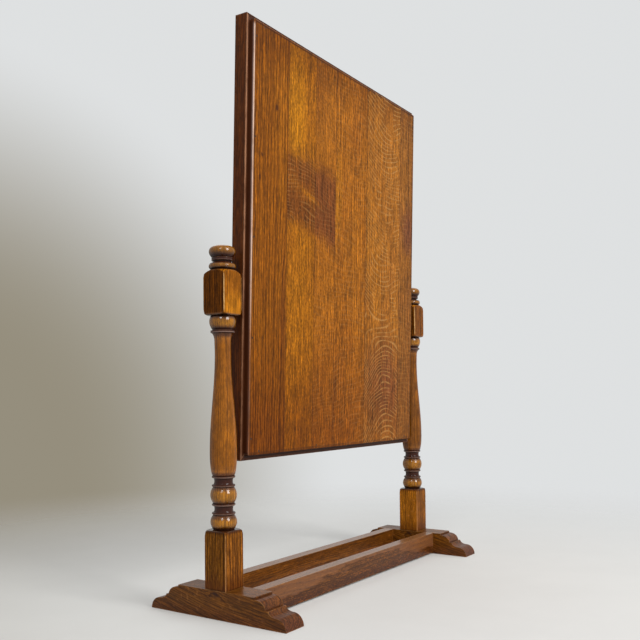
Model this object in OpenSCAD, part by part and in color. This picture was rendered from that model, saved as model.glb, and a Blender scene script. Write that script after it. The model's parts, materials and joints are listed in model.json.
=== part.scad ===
// Dressing table mirror: an oak frame that swings between two turned posts,
// on sledge feet joined by a pair of stretchers.
// Millimetres. X runs along the width, the glass faces -Y, +Z is up,
// and the origin is on the floor midway between the feet.

/* [Mirror frame] */
// Outer width of the frame
frame_w = 510; // [380:1:760]
// Outer height of the frame
frame_h = 638; // [460:1:900]
// Thickness of the frame, front to back
frame_t = 21.5; // [18:0.5:28]
// Width of each stile and rail, seen from the front
rail_w = 34; // [30:1:60]
// Thickness of the lip in front of the glass
lip_t = 7; // [5:0.5:9]
// Width of the rebate behind the lip
rebate_w = 9; // [6:0.5:11]
// Rounding of the outer front edge
edge_round = 1.5; // [1:0.5:5]
// Rounding of the sight edge beside the glass
sight_round = 4; // [2:0.5:6]
// Step beside the rounding of the sight edge
sight_step = 1; // [0.5:0.25:2]
// Height of the pivot above the frame's lower edge
pivot_rise = 236; // [180:1:300]
// How far the middle of the frame's thickness lies behind the pivot
pivot_offset = 1.75; // [0:0.25:2.5]
// Backward lean of the mirror as it stands, in degrees
lean = 1.6; // [0:0.1:8]

/* [Glass] */
// Thickness of the glass
glass_t = 4; // [3:0.5:6]
// Width of the bevel around the glass
bevel_w = 25; // [12:1:40]
// Drop of the bevel at the edge of the glass
bevel_drop = 1.6; // [0.5:0.1:2]
// Play between the glass and the rebate, on each side
glass_play = 1.5; // [0.5:0.25:2.5]
// Thickness of the card behind the glass
card_t = 1; // [0.5:0.25:2]
// Width of the beads that hold the glass in its rebate
bead_w = 8; // [5:0.5:11]

/* [Back] */
// Thickness of the back boards
back_t = 8.5; // [6:0.5:16]
// Margin of bare frame around the back boards
back_margin = 6.5; // [3:0.5:15]
// Rounding of the back's edge
back_round = 3.5; // [2:0.5:6]
// Radius of the back's corners, seen from behind
back_corner = 7; // [6:0.5:14]
// Distance from a nail to the edge of the back
nail_inset = 6.5; // [5:0.5:10]
// Distance from the last nail of a row to the corner
nail_margin = 25; // [15:1:45]
// Number of nails down each side
side_nails = 5; // [3:1:8]
// Number of nails along the top and the bottom
end_nails = 4; // [2:1:6]
// Diameter of a nail's shank
nail_d = 1.6; // [1.2:0.1:2.2]
// Diameter of a nail's head
nail_head_d = 3; // [2.4:0.1:4]
// Thickness of a nail's head
nail_head_t = 0.8; // [0.5:0.1:1.2]
// How far a nail goes into the frame
nail_bite = 5.5; // [4:0.25:6]

/* [Feet and stretchers] */
// Length of a foot, front to back
foot_l = 240; // [226:1:320]
// Height of a foot
foot_h = 39; // [34:1:50]
// Thickness of a foot
foot_t = 40; // [38:1:60]
// Length of the flat top of a foot
foot_flat = 136; // [124:1:150]
// Thickness of a stretcher
stretcher_t = 19; // [15:1:26]
// Gap between a stretcher and the floor
floor_gap = 2.5; // [1:0.5:6]
// Distance between the middle lines of the two stretchers
stretcher_spacing = 86.5; // [76:0.5:96]
// Length of a stretcher's tenon
stub_l = 14; // [8:1:16]
// Thickness of a stretcher's tenon
stub_t = 9; // [6:1:12]
// Height of a stretcher's tenon
stub_h = 24; // [16:1:28]
// Step down from the flat top to the foot's ovolo
quirk_h = 3; // [2:0.5:4]
// Width of the quirk between the step and the ovolo
quirk_w = 1.5; // [0.5:0.5:3]
// Length of the ovolo
ovolo_l = 17; // [12:0.5:20]
// Height of the ovolo
ovolo_h = 12.5; // [8:0.5:14]
// Width of the ledge under the ovolo
ledge_w = 4.5; // [3:0.5:8]
// Radius of the toe, front to back
toe_l = 16; // [10:0.5:20]
// Height of the toe
toe_h = 16.5; // [12:0.5:18]

/* [Posts] */
// Width of a post's square blocks
block_w = 38; // [36:1:56]
// Rounding of the long edges of a block
arris_r = 1; // [0.5:0.25:2]
// Height of the base block
base_h = 81; // [60:1:110]
// Height of the block that carries the pivot
pivot_block_h = 64; // [48:1:90]
// Gap between a post and the side of the frame
side_gap = 10; // [6:0.5:20]
// Clearance of the swinging frame above the stretchers
swing_gap = 7; // [5:0.5:40]
// Diameter of the tenon under a post
tenon_d = 22; // [16:1:26]
// Length of the tenon under a post
tenon_l = 26; // [18:1:30]
// Height of the rounded shoulder at a block's end
shoulder_h = 3.5; // [2:0.25:10]
// Radius of the shoulder where it meets the turning
shoulder_r = 18.3; // [16:0.1:19]
// Height of the sloping shoulder on top of the pivot block
slope_h = 6.5; // [4:0.25:10]
// Radius of the slope where it meets the ring
slope_r = 16; // [15:0.1:18]
// Length over which a block's corners ease in towards the shoulder
ease_l = 12; // [10:1:30]
// How far the corners have eased in where the shoulder starts
ease_drop = 1.4; // [0.5:0.1:3]
// Height of the lower ball
low_ball_h = 20.8; // [14:0.2:30]
// Height of the upper ball
ball_h = 23.2; // [14:0.2:30]
// Radius of a ball
ball_r = 18.5; // [15:0.1:19]
// Radius of the groove at each end of a ball
ball_end_r = 14.4; // [12:0.1:14.8]
// Height of a disc
disc_h = 3; // [2:0.25:6]
// Radius of a disc
disc_r = 16.4; // [15:0.1:18]
// Height of the hollow between two discs
cove_h = 9; // [5:0.5:14]
// Radius of the hollow at its narrowest
cove_r = 12.9; // [9:0.1:14]
// Height of the rounded foot of the vase
vase_foot_h = 30.5; // [18:0.5:40]
// Radius of the vase where it starts
vase_foot_r = 14.6; // [12:0.1:16]
// Radius of the vase at its widest
vase_r = 18.9; // [16:0.1:19]
// Radius of the neck at its narrowest
neck_r = 11.2; // [9:0.1:13]
// Height of the nearly straight neck
neck_h = 15; // [8:0.5:30]
// Radius of the neck where its flare starts
flare_r = 11.6; // [9:0.1:13]
// Height of the flare
flare_h = 12; // [6:0.5:20]
// Radius of the lip above the flare
lip_r = 16.9; // [14:0.1:18]
// Height of the lip above the flare
lip_h = 3; // [2:0.25:5]
// Height of the groove above the lip
groove_h = 1.5; // [1:0.25:3]
// Radius of the grooves above and below the pivot block
groove_r = 14.5; // [11:0.1:14.5]
// Height of the bun under the pivot block
bun_h = 19.5; // [12:0.5:26]
// Height of the bun's widest point above its base
bun_waist = 11.5; // [5:0.5:12]
// Radius of the bun under the pivot block
bun_r = 18.6; // [15:0.1:19]
// Radius of the bun where it meets the pivot block
bun_top_r = 16.2; // [14.5:0.1:17.5]

/* [Finial] */
// Height of the ring on top of the pivot block
ring_h = 9.5; // [6:0.5:16]
// Radius of the ring
ring_r = 18.9; // [15:0.1:19]
// Height of the hollow above the ring
finial_neck_h = 3; // [2:0.25:10]
// Radius of the hollow above the ring
finial_neck_r = 12.4; // [9:0.1:13]
// Height of the fillet under the knob
fillet_h = 4.25; // [1.5:0.25:5]
// Radius of the fillet under the knob
fillet_r = 15; // [13:0.1:16]
// Height of the knob
knob_h = 17.6; // [12:0.2:30]
// Height of the knob's widest point above its base
knob_waist = 8.2; // [4:0.2:11]
// Radius of the knob
knob_r = 18.6; // [15:0.1:19]

/* [Pivots] */
// Diameter of a pivot bolt's shank
bolt_d = 6; // [5:0.5:7]
// Diameter of a pivot bolt's head
bolt_head_d = 10; // [9:0.5:10]
// Height of a pivot bolt's head
bolt_head_h = 4; // [3:0.5:4.5]
// Depth of the recess for the bolt's head
recess_l = 8; // [7.5:0.5:10]
// Outer diameter of the bush
bush_d = 9; // [8.5:0.25:9.5]
// Thickness of the bush's flange
bush_flange_t = 1.5; // [1:0.25:1.5]
// Outer diameter of the threaded insert
insert_d = 12; // [10:0.5:16]
// Length of the threaded insert
insert_l = 15; // [10:0.5:20]
// Diameter of the spacer between the post and the frame
spacer_d = 14; // [11:0.5:24]
// Diameter of the leather washer
leather_d = 16; // [11:0.5:24]
// Thickness of the leather washer
leather_t = 2; // [1:0.25:3]
// Thickness of the steel washer under the bolt's head
washer_t = 1; // [0.5:0.1:1.2]

/* [Fits] */
// Radial clearance of a bolt that turns in its bush
run_fit = 0.05; // [0.02:0.01:0.1]
// Gap between faces that slide past each other
face_gap = 0.3; // [0.2:0.05:0.5]
// Clearance around a tenon, insert, bush or nail in its hole
seat_fit = 0.1; // [0.05:0.05:0.2]
// Thickness of a glue line
glue = 0.05; // [0.02:0.01:0.1]

/* [Hidden] */
$fn = 64;

// Left is at -X and right at +X, as seen from the front
left = -1;
right = 1;
front = -1;
back = 1;

// Widths of the back's boards from the right side to the left, before they
// are fitted to the width of the back
board_widths = [86, 75, 59, 100, 57, 65, 55];

// Fullness of the curve of a shoulder, of the slope and of the top of the knob,
// where 2 is straight, 1 is a quarter of an ellipse and less is squarer
shoulder_curve = 1;
slope_curve = 1.7;
knob_curve = 0.77;
// Depth of a cutting shape beyond the surface that it cuts
cut = 1;
// How far a disc stands out from the edge of the hollow beside it
disc_reveal = 2;
// How far the edges of a disc are rounded back
disc_ease = 0.9;
// How far the fillet stands out from the foot of the knob
knob_reveal = 1;
// Depth of the screwdriver slot in a bolt's head, and its width
slot_depth = 1.6;
slot_w = 1.2;
// Depth of a nail's head below the surface of the back
nail_sink = 0.2;
// Chamfer on the edges of a spacer
spacer_chamfer = 1;
// Play between the end of a bolt and the bottom of its insert
bolt_end_play = 1;

// Frame, with depths measured from the pivot line
frame_front = pivot_offset - frame_t / 2;
frame_back = pivot_offset + frame_t / 2;
frame_top = frame_h - pivot_rise;
frame_mid = frame_h / 2 - pivot_rise;
solid_w = rail_w - rebate_w;
opening_w = frame_w - 2 * solid_w;
opening_h = frame_h - 2 * solid_w;
sight = min(sight_round, lip_t - sight_step);

// The bevel rests on the sight edge, so the face of the glass stands forward
glass_w = opening_w - 2 * glass_play;
glass_h = opening_h - 2 * glass_play;
bevel_rest = bevel_drop * (bevel_w - rebate_w + glass_play) / bevel_w;
glass_front = frame_front + lip_t - bevel_rest;
card_front = glass_front + glass_t;
bead_front = card_front + card_t;
bead_t = frame_back - bead_front - seat_fit;

// Back
back_w = frame_w - 2 * back_margin;
back_h = frame_h - 2 * back_margin;
back_face = frame_back + back_t;
back_edge = min(back_round, back_t - 1);
side_nail_pitch = (back_h - 2 * nail_margin) / (side_nails - 1);
end_nail_pitch = (back_w - 2 * nail_margin) / (end_nails - 1);

// Stand
swing_edge = norm([max(frame_top, pivot_rise), max(frame_back, -frame_front)]);
swing_back = norm([max(frame_top, pivot_rise) - back_margin, back_face]);
pivot_z = foot_h + swing_gap + max(swing_edge, swing_back);
post_x = frame_w / 2 + side_gap + block_w / 2;
stretcher_h = foot_h - floor_gap;
stretcher_l = 2 * post_x - foot_t;

// Heights along a post
collar_h = 2 * disc_h + cove_h;
base_top = foot_h + base_h;
low_stack_h = low_ball_h + collar_h;
vase_z = base_top + low_stack_h + ball_h + collar_h;
pivot_block_z = pivot_z - pivot_block_h / 2;
bun_z = pivot_block_z - bun_h;
lip_z = bun_z - groove_h - lip_h;
flare_z = lip_z - flare_h;
neck_z = flare_z - neck_h;
ring_z = pivot_z + pivot_block_h / 2;
finial_neck_z = ring_z + ring_h;
fillet_z = finial_neck_z + finial_neck_h;
knob_z = fillet_z + fillet_h;

// Pivot, with distances along X from the middle of the object
frame_side = frame_w / 2;
post_side = frame_side + side_gap;
recess_x = frame_side - solid_w;
flange_x = recess_x + recess_l - bush_flange_t;
washer_x = flange_x - face_gap - washer_t;
leather_x = frame_side + face_gap;
spacer_x = leather_x + leather_t;
recess_r = bolt_head_d / 2 + face_gap;

// Points of an elliptical arc around (cx, cy), from angle a0 to angle a1
function arc(cx, cy, rx, ry, a0, a1, n = 10) =
  [for (i = [0:n]) let (a = a0 + (a1 - a0) * i / n) [cx + rx * cos(a), cy + ry * sin(a)]];

// Turned bead, or a hollow where mid_r is less than end_r, that is h high
function bead(z, h, end_r, mid_r, n = 14) =
  arc(end_r, z + h / 2, mid_r - end_r, h / 2, -90, 90, n);

// Round bow from radius low_r at height z out to mid_r, rise higher up
function lower_bow(z, rise, low_r, mid_r, n = 7) =
  [for (i = [0:n]) let (t = 1 - i / n) [mid_r - (mid_r - low_r) * t * t, z + rise * (1 - t)]];

// Whole bow, which goes on from mid_r to high_r at height z + h
function bow(z, h, rise, low_r, mid_r, high_r, n = 7) = concat(
  lower_bow(z, rise, low_r, mid_r, n),
  [for (i = [1:n]) let (t = i / n) [mid_r - (mid_r - high_r) * t * t, z + rise + (h - rise) * t]]
);

// Quarter of a rounded curve from the side, at angle 0, to the top, at 90
function quarter(cx, cy, rx, ry, fullness, n = 8) =
  [for (i = [0:n]) let (a = 90 * i / n) [cx + rx * pow(cos(a), fullness), cy + ry * pow(sin(a), fullness)]];

function disc(z, r) = bow(z, disc_h, disc_h / 2, r - disc_ease, r, r - disc_ease, 3);

// Ball of height h with a disc, a hollow and a disc on it, from height z
function stack(z, h) = concat(
  bow(z, h, h / 2, ball_end_r, ball_r, ball_end_r),
  disc(z + h, disc_r),
  bead(z + h + disc_h, cove_h, disc_r - disc_reveal, cove_r, 10),
  disc(z + h + disc_h + cove_h, disc_r)
);

// Smooth taper from radius r0 at z0 to radius r1 at z1
function taper(z0, z1, r0, r1, n = 24) =
  [for (i = [1:n]) [(r0 + r1) / 2 + (r0 - r1) / 2 * cos(180 * i / n), z0 + (z1 - z0) * i / n]];

// Corners of a square block that ease in and round over at height z, where
// dir is 1 for the block's upper end and -1 for its lower end
function shoulder(z, dir, ease, h, end_r, fullness) =
  let (full_r = norm([block_w, block_w]) / 2, start = z - dir * h)
  concat(
    [for (i = [0:7]) [full_r - ease_drop * pow(i / 8, 2), start - dir * ease * (1 - i / 8)]],
    quarter(end_r, start, full_r - ease_drop - end_r, dir * h, fullness)
  );

function reversed(v) = [for (i = [len(v) - 1:-1:0]) v[i]];

function rest(v) = [for (i = [1:len(v) - 1]) v[i]];

// Sum of the first n numbers of v
function sum(v, n) = n == 0 ? 0 : v[n - 1] + sum(v, n - 1);

// Rod or tube around X on one side, between two distances from the middle
module rod(side, x0, x1, r) {
  translate([side * x0, 0, 0])
    rotate([0, side * 90, 0])
      cylinder(h = x1 - x0, r = r);
}

module tube(side, x0, x1, r, bore_r) {
  difference() {
    rod(side, x0, x1, r);
    rod(side, x0 - cut, x1 + cut, bore_r);
  }
}

// Extrudes an outline drawn in Y and Z over a length of X, around x
module across(x, length) {
  translate([x - length / 2, 0, 0])
    rotate([90, 0, 90])
      linear_extrude(length)
        children();
}

// Extrudes an outline drawn in X and Z from depth y0 to depth y1
module through(y0, y1) {
  translate([0, y1, 0])
    rotate([90, 0, 0])
      linear_extrude(y1 - y0)
        children();
}

// Places what hangs on the pivots
module leaned() {
  translate([0, 0, pivot_z])
    rotate([-lean, 0, 0])
      children();
}

module at_pivot() {
  translate([0, 0, pivot_z])
    children();
}

// One end of the foot's outline, from the flat top down to the toe
function foot_end() =
  let (
    ovolo_y = foot_flat / 2 + quirk_w,
    ovolo_z = foot_h - quirk_h,
    ledge_y = ovolo_y + ovolo_l + ledge_w,
    ledge_z = ovolo_z - ovolo_h,
    toe_y = foot_l / 2 - toe_l
  )
  concat(
    [[foot_flat / 2, foot_h], [foot_flat / 2, ovolo_z]],
    arc(ovolo_y, ledge_z, ovolo_l, ovolo_h, 90, 0, 12),
    arc(toe_y, ledge_z, toe_y - ledge_y, ledge_z - toe_h, 180, 270, 10),
    rest(arc(toe_y, 0, toe_l, toe_h, 90, 0, 12))
  );

module foot(side) {
  outline = foot_end();
  color([0.45, 0.26, 0.10])
    difference() {
      across(side * post_x, foot_t)
        polygon(concat(outline, [for (p = reversed(outline)) [-p[0], p[1]]]));
      translate([side * post_x, 0, foot_h - tenon_l - seat_fit])
        cylinder(h = tenon_l + seat_fit + cut, r = tenon_d / 2 + seat_fit);
      for (row = [front, back])
        stretcher_stubs(row, seat_fit);
    }
}

// Both tenons of a stretcher, or its mortises where fit is a clearance
module stretcher_stubs(row, fit) {
  translate([0, row * stretcher_spacing / 2, floor_gap + stretcher_h / 2])
    cube([stretcher_l + 2 * (stub_l + fit), stub_t + 2 * fit, stub_h + 2 * fit], center = true);
}

module stretcher(row) {
  color([0.48, 0.28, 0.11]) {
    translate([0, row * stretcher_spacing / 2, floor_gap + stretcher_h / 2])
      cube([stretcher_l, stretcher_t, stretcher_h], center = true);
    stretcher_stubs(row, 0);
  }
}

// Square with rounded corners
module eased_square(width, r) {
  square([width, width - 2 * r], center = true);
  square([width - 2 * r, width], center = true);
  for (x = [left, right], y = [front, back])
    translate([x * (width / 2 - r), y * (width / 2 - r)])
      circle(r = r, $fn = 24);
}

// Square block whose corners are turned down by the outline
module block(z0, z1, outline) {
  intersection() {
    translate([0, 0, z0])
      linear_extrude(z1 - z0)
        eased_square(block_w, arris_r);
    rotate_extrude()
      polygon(concat([[0, z0]], outline, [[0, z1]]));
  }
}

module base_block() {
  corner_r = norm([block_w, block_w]) / 2;
  upper = shoulder(base_top, 1, ease_l, shoulder_h, shoulder_r, shoulder_curve);
  block(foot_h, base_top, concat([[corner_r, foot_h]], upper));
}

module pivot_block() {
  ease = min(ease_l, pivot_block_h / 2 - max(shoulder_h, slope_h) - 1);
  lower = shoulder(pivot_block_z, -1, ease, shoulder_h, shoulder_r, shoulder_curve);
  upper = shoulder(ring_z, 1, ease, slope_h, slope_r, slope_curve);
  block(pivot_block_z, ring_z, concat(reversed(lower), upper));
}

// Turning between the two blocks
module shaft() {
  vase_top = vase_z + vase_foot_h;
  rotate_extrude()
    polygon(concat(
      [[0, base_top - cut], [ball_end_r, base_top - cut]],
      stack(base_top, low_ball_h),
      stack(base_top + low_stack_h, ball_h),
      arc(vase_foot_r, vase_top, vase_r - vase_foot_r, vase_foot_h, -90, 0, 12),
      taper(vase_top, neck_z, vase_r, neck_r),
      arc(lip_r, flare_z, flare_r - lip_r, flare_h, 0, 90, 10),
      [[lip_r, lip_z + lip_h], [groove_r, lip_z + lip_h]],
      bow(bun_z, bun_h, bun_waist, groove_r, bun_r, bun_top_r),
      [[groove_r, pivot_block_z + cut], [0, pivot_block_z + cut]]
    ));
}

module finial() {
  waist_z = knob_z + knob_waist;
  knob_foot_r = fillet_r - knob_reveal;
  rotate_extrude()
    polygon(concat(
      [[0, ring_z - cut], [groove_r, ring_z - cut]],
      bead(ring_z, ring_h, groove_r, ring_r),
      rest(bead(finial_neck_z, finial_neck_h, groove_r, finial_neck_r, 8)),
      [[fillet_r, fillet_z], [fillet_r, knob_z]],
      lower_bow(knob_z, knob_waist, knob_foot_r, knob_r),
      rest(quarter(0, waist_z, knob_r, knob_h - knob_waist, knob_curve, 14))
    ));
}

module post(side) {
  color([0.55, 0.33, 0.13])
    difference() {
      translate([side * post_x, 0, 0]) {
        translate([0, 0, foot_h - tenon_l])
          cylinder(h = tenon_l + cut, r = tenon_d / 2);
        base_block();
        shaft();
        pivot_block();
        finial();
      }
      at_pivot()
        rod(side, post_side - cut, post_side + insert_l + seat_fit, insert_d / 2 + seat_fit);
    }
}

module insert(side) {
  color([0.72, 0.58, 0.30])
    at_pivot()
      tube(side, post_side, post_side + insert_l, insert_d / 2, bolt_d / 2 + run_fit);
}

// Slotted bolt, put in from inside the rebate before the glass
module pivot_bolt(side) {
  head_x = washer_x - bolt_head_h;
  color([0.62, 0.62, 0.60])
    at_pivot()
      difference() {
        union() {
          rod(side, head_x, washer_x, bolt_head_d / 2);
          rod(side, washer_x - cut, post_side + insert_l - bolt_end_play, bolt_d / 2);
        }
        translate([side * head_x, 0, 0])
          cube([2 * slot_depth, bolt_head_d + cut, slot_w], center = true);
      }
}

module steel_washer(side) {
  color([0.66, 0.66, 0.64])
    at_pivot()
      tube(side, washer_x, washer_x + washer_t, bolt_head_d / 2, bolt_d / 2 + seat_fit);
}

module leather_washer(side) {
  color([0.30, 0.18, 0.10])
    at_pivot()
      tube(side, leather_x, leather_x + leather_t, leather_d / 2, bolt_d / 2 + seat_fit);
}

module spacer(side) {
  r = spacer_d / 2;
  length = post_side - spacer_x;
  chamfer = min(spacer_chamfer, r - bolt_d / 2 - seat_fit - 0.5, length / 3);
  color([0.72, 0.58, 0.30])
    translate([side * spacer_x, 0, pivot_z])
      rotate([0, side * 90, 0])
        rotate_extrude()
          polygon([
            [bolt_d / 2 + seat_fit, 0], [r - chamfer, 0], [r, chamfer],
            [r, length - chamfer], [r - chamfer, length], [bolt_d / 2 + seat_fit, length]
          ]);
}

// Section of the frame: depth across, and distance in from the outer edge up
function frame_section() =
  let (step_face = frame_front + sight_step, step_edge = rail_w - sight - sight_step)
  concat(
    [[frame_back, 0]],
    arc(frame_front + edge_round, edge_round, edge_round, edge_round, 270, 180, 6),
    [[frame_front, step_edge], [step_face, step_edge]],
    arc(step_face + sight, rail_w - sight, sight, sight, 180, 90, 6),
    [
      [frame_front + lip_t, rail_w], [frame_front + lip_t, solid_w],
      [frame_back, solid_w]
    ]
  );

// Mitred length of frame along X, with its outer edge at Z = 0
module frame_length(length) {
  half = length / 2 - glue;
  intersection() {
    across(0, length)
      polygon(frame_section());
    through(frame_front - cut, frame_back + cut)
      polygon([[-half, 0], [half, 0], [half - rail_w, rail_w], [rail_w - half, rail_w]]);
  }
}

// Bore for the bush, with the recess for its flange and the bolt's head
module bush_bore(side) {
  rod(side, recess_x, frame_side + cut, bush_d / 2 + seat_fit);
  rod(side, recess_x - cut, recess_x + recess_l, recess_r);
}

module stile(side) {
  color([0.40, 0.22, 0.09])
    leaned()
      difference() {
        translate([side * frame_side, 0, frame_mid])
          rotate([0, -side * 90, 0])
            frame_length(frame_h);
        bush_bore(side);
        nails(seat_fit);
      }
}

module rail(z, turn) {
  color([0.42, 0.24, 0.10])
    leaned()
      difference() {
        translate([0, 0, z])
          rotate([0, turn, 0])
            frame_length(frame_w);
        nails(seat_fit);
      }
}

module bush(side) {
  bore_r = bolt_d / 2 + run_fit;
  color([0.72, 0.58, 0.30])
    leaned()
      difference() {
        union() {
          rod(side, flange_x, frame_side, bush_d / 2);
          rod(side, flange_x, flange_x + bush_flange_t, bolt_head_d / 2);
        }
        rod(side, flange_x - cut, frame_side + cut, bore_r);
      }
}

// Section of the bevelled glass that is width wide
module bevelled(width) {
  polygon([
    [-width / 2 + bevel_w, glass_front], [width / 2 - bevel_w, glass_front],
    [width / 2, glass_front + bevel_drop], [width / 2, glass_front + glass_t],
    [-width / 2, glass_front + glass_t], [-width / 2, glass_front + bevel_drop]
  ]);
}

module mirror_glass() {
  color([0.80, 0.84, 0.85])
    leaned()
      translate([0, 0, frame_mid])
        intersection() {
          translate([0, 0, -glass_h / 2])
            linear_extrude(glass_h)
              bevelled(glass_w);
          rotate([0, 90, 0])
            translate([0, 0, -glass_w / 2])
              linear_extrude(glass_w)
                bevelled(glass_h);
        }
}

module backing_card() {
  color([0.62, 0.55, 0.42])
    leaned()
      translate([-glass_w / 2, card_front, frame_mid - glass_h / 2])
        cube([glass_w, card_t, glass_h]);
}

module side_bead(side) {
  color([0.70, 0.55, 0.34])
    leaned()
      translate([side * (opening_w / 2 - seat_fit - bead_w / 2), bead_front + bead_t / 2, frame_mid])
        cube([bead_w, bead_t, opening_h - 2 * (bead_w + 2 * seat_fit)], center = true);
}

module end_bead(end) {
  color([0.70, 0.55, 0.34])
    leaned()
      translate([0, bead_front + bead_t / 2, frame_mid + end * (opening_h / 2 - seat_fit - bead_w / 2)])
        cube([opening_w - 2 * seat_fit, bead_t, bead_w], center = true);
}

// Section of the back that is width wide, with its rear edges rounded
module eased_board(width) {
  half = width / 2;
  translate([-half, frame_back])
    square([width, back_t - back_edge]);
  translate([-half + back_edge, frame_back])
    square([width - 2 * back_edge, back_t]);
  for (side = [left, right])
    translate([side * (half - back_edge), back_face - back_edge])
      circle(r = back_edge);
}

// Outline of the back, seen from behind
module back_outline() {
  half_w = back_w / 2;
  half_h = back_h / 2;
  square([back_w, back_h - 2 * back_corner], center = true);
  square([back_w - 2 * back_corner, back_h], center = true);
  for (x = [left, right], z = [-1, 1])
    translate([x * (half_w - back_corner), z * (half_h - back_corner)])
      circle(r = back_corner);
}

// One of the boards that are glued edge to edge into the back
module back_board(index) {
  scale_w = back_w / sum(board_widths, len(board_widths));
  x1 = back_w / 2 - scale_w * sum(board_widths, index);
  x0 = x1 - scale_w * board_widths[index];
  shade = [0.50, 0.56, 0.47, 0.54, 0.58, 0.50, 0.46][index];
  color([shade, shade * 0.58, shade * 0.23])
    leaned()
      difference() {
        translate([0, 0, frame_mid])
          intersection() {
            translate([0, 0, -back_h / 2])
              linear_extrude(back_h)
                eased_board(back_w);
            rotate([0, 90, 0])
              translate([0, 0, -back_w / 2])
                linear_extrude(back_w)
                  eased_board(back_h);
            through(frame_back, back_face)
              back_outline();
            translate([x0 + glue, frame_back, -back_h / 2])
              cube([x1 - x0 - 2 * glue, back_t, back_h]);
          }
        nails(seat_fit);
      }
}

// Nail that goes in from behind at x and z, or its hole where fit is a clearance
module nail(x, z, fit) {
  head_face = back_face - nail_sink;
  translate([x, frame_back - nail_bite - fit, z])
    rotate([-90, 0, 0])
      cylinder(h = head_face - frame_back + nail_bite + fit, r = nail_d / 2 + fit, $fn = 24);
  translate([x, head_face - nail_head_t, z])
    rotate([-90, 0, 0])
      cylinder(h = nail_head_t + (fit > 0 ? cut : 0), r = nail_head_d / 2 + fit, $fn = 24);
}

module nails(fit) {
  for (side = [left, right], i = [0:side_nails - 1])
    nail(
      side * (back_w / 2 - nail_inset),
      frame_mid - back_h / 2 + nail_margin + i * side_nail_pitch, fit);
  for (end = [-1, 1], i = [0:end_nails - 1])
    nail(
      -back_w / 2 + nail_margin + i * end_nail_pitch,
      frame_mid + end * (back_h / 2 - nail_inset), fit);
}

module back_nails() {
  color([0.20, 0.14, 0.09])
    leaned()
      nails(0);
}

foot(left);  // left_foot
foot(right);  // right_foot
stretcher(front);  // front_stretcher
stretcher(back);  // back_stretcher
post(left);  // left_post
post(right);  // right_post
insert(left);  // left_insert
insert(right);  // right_insert
pivot_bolt(left);  // left_pivot_bolt
pivot_bolt(right);  // right_pivot_bolt
spacer(left);  // left_spacer
spacer(right);  // right_spacer
leather_washer(left);  // left_leather_washer
leather_washer(right);  // right_leather_washer
steel_washer(left);  // left_steel_washer
steel_washer(right);  // right_steel_washer
stile(left);  // left_stile
stile(right);  // right_stile
rail(frame_top, 180);  // top_rail
rail(-pivot_rise, 0);  // bottom_rail
bush(left);  // left_bush
bush(right);  // right_bush
mirror_glass();
backing_card();
side_bead(left);  // left_glazing_bead
side_bead(right);  // right_glazing_bead
end_bead(1);  // top_glazing_bead
end_bead(-1);  // bottom_glazing_bead
back_board(0);  // back_board_1
back_board(1);  // back_board_2
back_board(2);  // back_board_3
back_board(3);  // back_board_4
back_board(4);  // back_board_5
back_board(5);  // back_board_6
back_board(6);  // back_board_7
back_nails();
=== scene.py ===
import json
import math
from functools import partial
from types import SimpleNamespace

import bpy
from mathutils import Matrix, Vector

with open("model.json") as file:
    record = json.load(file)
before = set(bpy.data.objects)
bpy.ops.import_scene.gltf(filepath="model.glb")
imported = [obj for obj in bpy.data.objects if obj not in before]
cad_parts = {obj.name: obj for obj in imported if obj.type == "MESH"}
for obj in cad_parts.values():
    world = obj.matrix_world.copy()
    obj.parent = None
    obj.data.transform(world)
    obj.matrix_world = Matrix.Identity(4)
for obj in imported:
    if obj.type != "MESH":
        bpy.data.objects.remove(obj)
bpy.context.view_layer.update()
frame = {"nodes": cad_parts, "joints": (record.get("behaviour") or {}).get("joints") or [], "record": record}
nodes = frame["nodes"]

MM = 0.001
X, Y, Z = range(3)


# Places, in millimetres
def reach(node, axis, centre=(0, 0, 0), lean=0.0):
    """Lowest and highest place of a node along one axis, from centre and with its lean taken away."""
    upright = Matrix.Rotation(lean, 3, "X")
    places = [(upright @ (vertex.co / MM - Vector(centre)))[axis]
              for vertex in nodes[node].data.vertices]
    return min(places), max(places)


def halfway(ends):
    return 0.5 * (ends[0] + ends[1])


LEAN = math.radians(1.6)                          # how far the mirror leans back at rest
PIVOT_Z = frame["joints"][0]["pos_m"][Z] / MM     # height of the axis that it turns on
MIRROR = dict(centre=(0, 0, PIVOT_Z), lean=LEAN)  # the mirror's own upright axes
POST_X = halfway(reach("right_post", X))
POST_HALF_W = POST_X - reach("right_post", X)[0]
FOOT_HALF_W = POST_X - reach("right_foot", X)[0]
STRETCHER_Y = 43.0                                # about the middle of a stretcher
LOW_Z = 20.0                                      # about half the height of the feet and stretchers

# The edges of the boards of the back, from right to left, in the middle of the seams
BOARD_ENDS = [reach("back_board_%d" % number, X) for number in range(1, 8)]
HALF_SEAM = 0.5 * (BOARD_ENDS[0][0] - BOARD_ENDS[1][1])
EDGES = [high + HALF_SEAM for low, high in BOARD_ENDS] + [BOARD_ENDS[-1][0] - HALF_SEAM]

BACK_HALF_W, BACK_ENDS = EDGES[0], reach("back_board_1", Z, **MIRROR)
BACK_FACE = reach("back_board_1", Y, **MIRROR)[1]
GLASS_HALF_W, GLASS_ENDS = reach("mirror_glass", X)[1], reach("mirror_glass", Z, **MIRROR)
FRAME_FACE = reach("right_stile", Y, **MIRROR)[1]
STILE_HALF_W = halfway(reach("right_stile", X)) - reach("right_stile", X)[0]


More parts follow.
